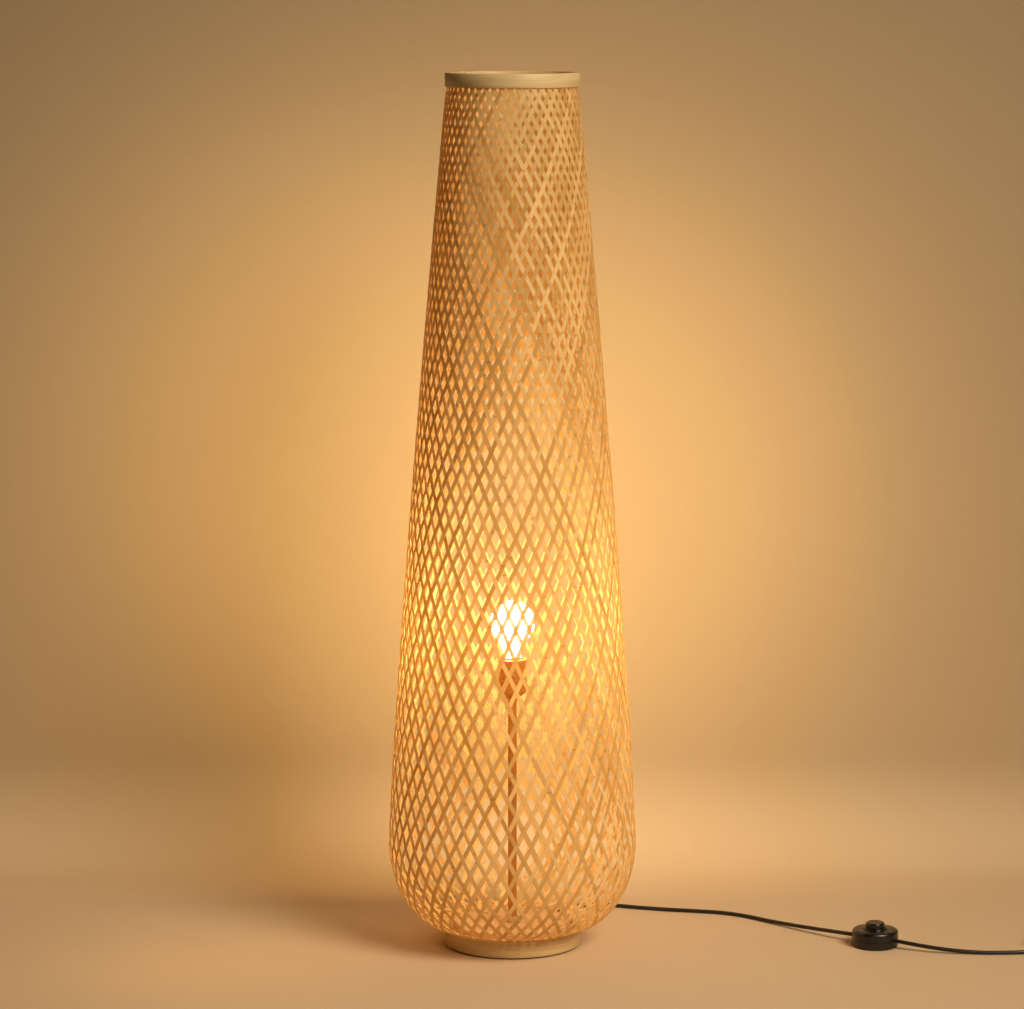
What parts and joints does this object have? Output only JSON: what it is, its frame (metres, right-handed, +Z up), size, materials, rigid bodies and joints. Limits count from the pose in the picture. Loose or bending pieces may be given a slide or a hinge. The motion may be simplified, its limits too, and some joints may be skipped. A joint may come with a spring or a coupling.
{
  "type": "floor lamp",
  "caption": "Tall open-weave bamboo floor lamp with hoops at rim and base, a bulb on a slim inner stem, and a black flex with a foot switch and plug.",
  "frame": {"origin": "centre of the round base on the floor", "axes": "+Z up along the lamp's axis; -Y is the front; +X is the side towards which the flex runs"},
  "size_m": [0.9776, 0.37, 1.2],
  "materials": {
    "bamboo_weave": "split bamboo strips, pale beige, satin",
    "bamboo_hoop": "bent bamboo band, olive beige, satin with fine lengthwise grain",
    "plywood": "plain plywood",
    "felt": "dark felt",
    "sand_steel": "sand-coloured painted steel",
    "bright_steel": "bright zinc or nickel plating",
    "bronze": "warm bronze lacquered metal, satin",
    "brass": "plain brass",
    "black_plastic": "black moulded plastic, half gloss",
    "black_flex": "black flex sheath, satin",
    "porcelain": "white porcelain",
    "opal_glass": "frosted warm white glass, lit",
    "clear_glass": "clear glass"
  },
  "bodies": {
    "lamp": {"foot_ring": "felt", "base_ring": "bamboo_hoop", "base_inner_hoop": "bamboo_hoop", "base_board": "plywood", "ballast_plate": "sand_steel", "ballast_screw_1": "bright_steel", "ballast_screw_2": "bright_steel", "ballast_screw_3": "bright_steel", "stem_tube": "bronze", "stem_washer": "bright_steel", "stem_nut": "bright_steel", "woven_shade": "bamboo_weave", "rim_outer_hoop": "bamboo_hoop", "rim_inner_hoop": "bamboo_hoop", "holder_cap": "bronze", "holder_sleeve": "bronze", "holder_insert": "porcelain", "holder_screw_shell": "brass", "holder_contact": "brass", "holder_terminal_1": "brass", "holder_terminal_2": "brass", "cord_gland": "black_flex", "inner_lead": "black_flex", "cord_to_switch": "black_flex", "cord_from_switch": "black_flex", "cord_coil": "black_flex", "cord_tie": "felt", "cord_to_plug": "black_flex", "switch_foot": "felt", "switch_base": "black_plastic", "switch_cover": "black_plastic", "switch_screw_1": "bright_steel", "switch_screw_2": "bright_steel", "switch_block": "black_plastic", "switch_contact_1": "brass", "switch_contact_2": "brass", "switch_spring": "bright_steel", "plug_relief": "black_flex", "plug_body": "black_plastic", "plug_pin_1": "bright_steel", "plug_pin_2": "bright_steel", "plug_sleeve_1": "black_plastic", "plug_sleeve_2": "black_plastic"},
    "bulb": {"bulb_glass": "opal_glass", "bulb_mount": "clear_glass", "bulb_filament": "bright_steel", "bulb_contact": "bright_steel", "bulb_insulator": "black_plastic", "bulb_cap": "brass"},
    "foot_button": {"switch_button": "black_plastic", "switch_bridge": "brass"}
  },
  "joints": [
    {"name": "foot_button_press", "type": "slide", "parent": "lamp", "child": "foot_button", "axis": [0, 0, -1], "range_m": [0, 0.003], "stiffness_N_per_m": 1200, "springref_m": -0.003, "deforming": ["switch_spring"]},
    {"name": "bulb_lift_out", "type": "slide", "parent": "lamp", "child": "bulb", "axis": [0, 0, 1], "range_m": [0, 0.85]}
  ]
}
